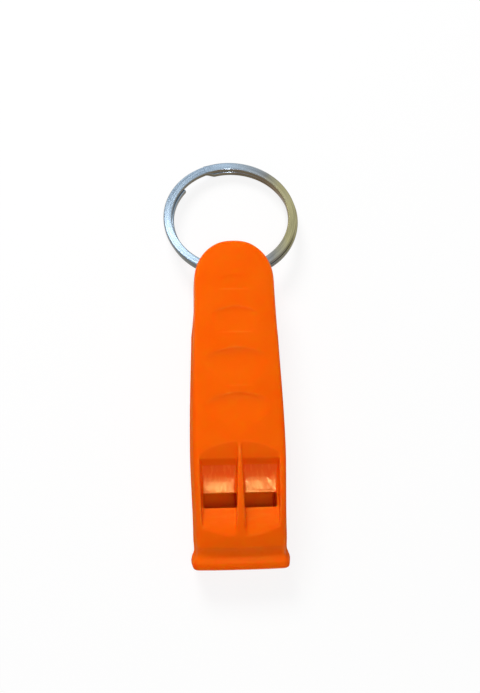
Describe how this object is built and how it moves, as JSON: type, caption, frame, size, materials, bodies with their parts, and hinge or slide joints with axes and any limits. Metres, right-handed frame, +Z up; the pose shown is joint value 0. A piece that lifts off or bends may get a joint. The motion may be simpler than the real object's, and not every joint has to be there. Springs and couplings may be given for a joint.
{
  "type": "rescue whistle",
  "caption": "Flat pealess rescue whistle with side-by-side sound windows, moulded from welded plastic halves, hanging on a free-swinging steel split ring.",
  "frame": {"origin": "on the flat belly, straight below the middle of the labium edge where the air jets split", "axes": "+Z up from the belly, +Y from the mouthpiece towards the ring, +X to the right seen from the mouthpiece"},
  "size_m": [0.0296, 0.0898, 0.0136],
  "materials": {
    "housing": "satin",
    "insert": "gloss",
    "ring": "plated"
  },
  "bodies": {
    "whistle": {"upper_shell": "housing", "lower_shell": "housing", "windway_insert": "insert"},
    "ring": {"split_ring": "ring"}
  },
  "joints": [
    {"name": "ring_swing", "type": "hinge", "parent": "whistle", "child": "ring", "pos_m": [0, 0.0484, 0.006], "axis": [1, 0, 0], "range_deg": [-150, 170]}
  ]
}
